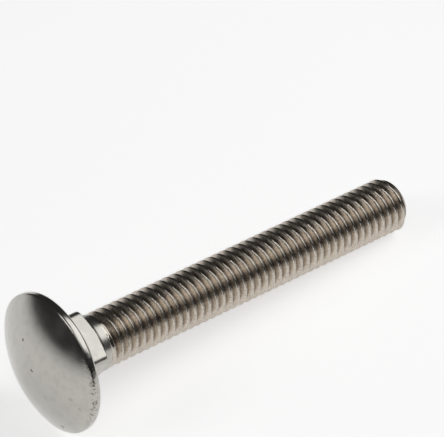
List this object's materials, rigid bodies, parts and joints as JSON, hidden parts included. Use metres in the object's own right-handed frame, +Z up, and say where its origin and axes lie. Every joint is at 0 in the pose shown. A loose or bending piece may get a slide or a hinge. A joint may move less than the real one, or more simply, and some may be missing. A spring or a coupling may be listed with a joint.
{
  "type": "carriage bolt",
  "caption": "Carriage bolt with a low domed round head, a square neck and a fully threaded round shank, in bare stainless steel.",
  "frame": {"origin": "centre of the bolt's outline, on the surface that it lies on", "axes": "+X along the bolt from head to tip as seen from above, +Z up; the axis of the bolt slopes down to the tip by 6.0 degrees"},
  "size_m": [0.0636, 0.02, 0.0201],
  "materials": {
    "steel": "polished stainless steel, bright on the head and satin on the thread"
  },
  "bodies": {
    "root": {"carriage_bolt": "steel"}
  },
  "joints": []
}
